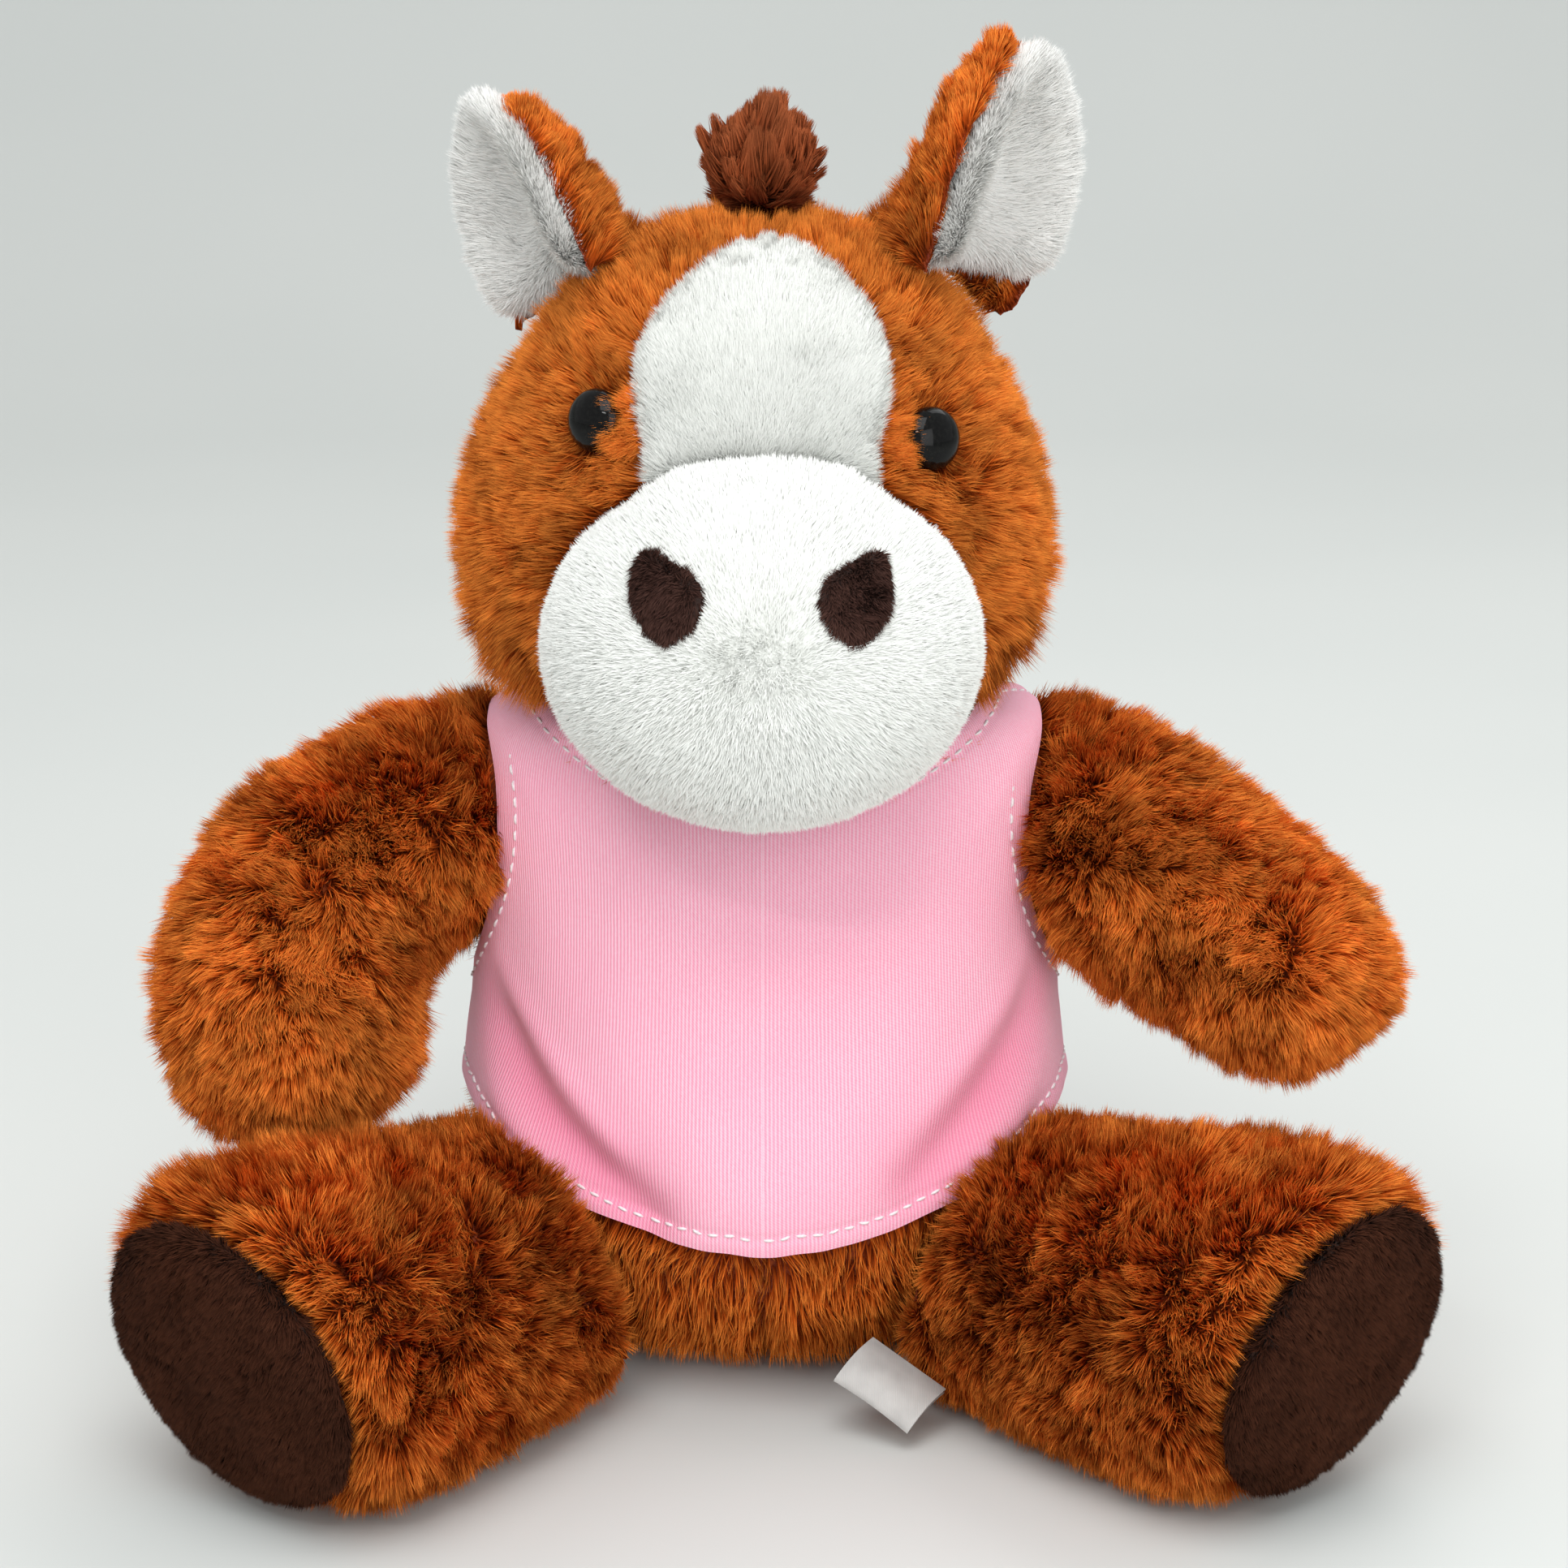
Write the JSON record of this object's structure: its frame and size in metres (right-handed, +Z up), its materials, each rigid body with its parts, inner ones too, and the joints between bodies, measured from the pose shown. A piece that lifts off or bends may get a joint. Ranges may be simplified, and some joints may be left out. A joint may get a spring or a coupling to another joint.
{
  "type": "plush horse",
  "caption": "Seated plush toy horse with brushed brown pile, white muzzle and blaze, cupped ears, dark hoof soles and a pink tank top; head, ears, arms, legs and tail move.",
  "frame": {"origin": "on the flat seat under the body, at the floor, below the middle of the torso", "axes": "+Z up, -Y the way the horse faces, +X its left side"},
  "size_m": [0.2455, 0.1881, 0.2666],
  "materials": {
    "brown_pile": "long brushed pile",
    "white_pile": "short dense pile",
    "dark_brown_pile": "short dense pile",
    "auburn_pile": "long brushed pile",
    "pink_jersey": "ribbed knit",
    "white_satin": "woven ribbon",
    "black_gloss": "polished",
    "white_nylon": "moulded"
  },
  "bodies": {
    "torso": {"body": "brown_pile", "shirt_front": "pink_jersey", "shirt_back": "pink_jersey", "label": "white_satin"},
    "neck": {"neck": "brown_pile"},
    "head": {"head": "brown_pile", "muzzle": "white_pile", "blaze": "white_pile", "nostril_left": "dark_brown_pile", "nostril_right": "dark_brown_pile", "eye_left": "black_gloss", "eye_right": "black_gloss", "eye_washer_left": "white_nylon", "eye_washer_right": "white_nylon", "mane": "auburn_pile"},
    "ear_left": {"ear_left": "brown_pile", "ear_lining_left": "white_pile"},
    "ear_right": {"ear_right": "brown_pile", "ear_lining_right": "white_pile"},
    "arm_left": {"arm_left": "brown_pile"},
    "arm_right": {"arm_right": "brown_pile"},
    "leg_left": {"leg_left": "brown_pile", "hoof_left": "dark_brown_pile"},
    "leg_right": {"leg_right": "brown_pile", "hoof_right": "dark_brown_pile"},
    "tail": {"tail": "auburn_pile"}
  },
  "joints": [
    {"name": "neck_turn", "type": "hinge", "parent": "torso", "child": "neck", "pos_m": [0, 0.005, 0.1395], "axis": [0, 0, 1], "range_deg": [-25, 25]},
    {"name": "head_nod", "type": "hinge", "parent": "neck", "child": "head", "pos_m": [0, 0.005, 0.1395], "axis": [1, 0, 0], "range_deg": [-15, 5]},
    {"name": "ear_left_fold", "type": "hinge", "parent": "head", "child": "ear_left", "pos_m": [0.02649, 0.00923, 0.22419], "axis": [0.464, 0.8639, -0.1959], "range_deg": [-12, 12], "stiffness_Nm_per_rad": 0.06},
    {"name": "ear_right_fold", "type": "hinge", "parent": "head", "child": "ear_right", "pos_m": [-0.02718, 0.00915, 0.21939], "axis": [0.3716, -0.8403, 0.3948], "range_deg": [-12, 12], "stiffness_Nm_per_rad": 0.06},
    {"name": "arm_left_lift", "type": "hinge", "parent": "torso", "child": "arm_left", "pos_m": [0.0535, 0.0085, 0.1095], "axis": [0, -1, 0], "range_deg": [-5, 35]},
    {"name": "arm_right_lift", "type": "hinge", "parent": "torso", "child": "arm_right", "pos_m": [-0.0535, 0.0085, 0.1095], "axis": [0, 1, 0], "range_deg": [0, 40]},
    {"name": "leg_left_spread", "type": "hinge", "parent": "torso", "child": "leg_left", "pos_m": [0.04, -0.01, 0.032], "axis": [0, 0, 1], "range_deg": [-3, 10]},
    {"name": "leg_right_spread", "type": "hinge", "parent": "torso", "child": "leg_right", "pos_m": [-0.04, -0.01, 0.032], "axis": [0, 0, -1], "range_deg": [-8, 4]},
    {"name": "tail_swing", "type": "hinge", "parent": "torso", "child": "tail", "pos_m": [0, 0.046, 0.026], "axis": [0, 0, 1], "range_deg": [-15, 15]}
  ]
}
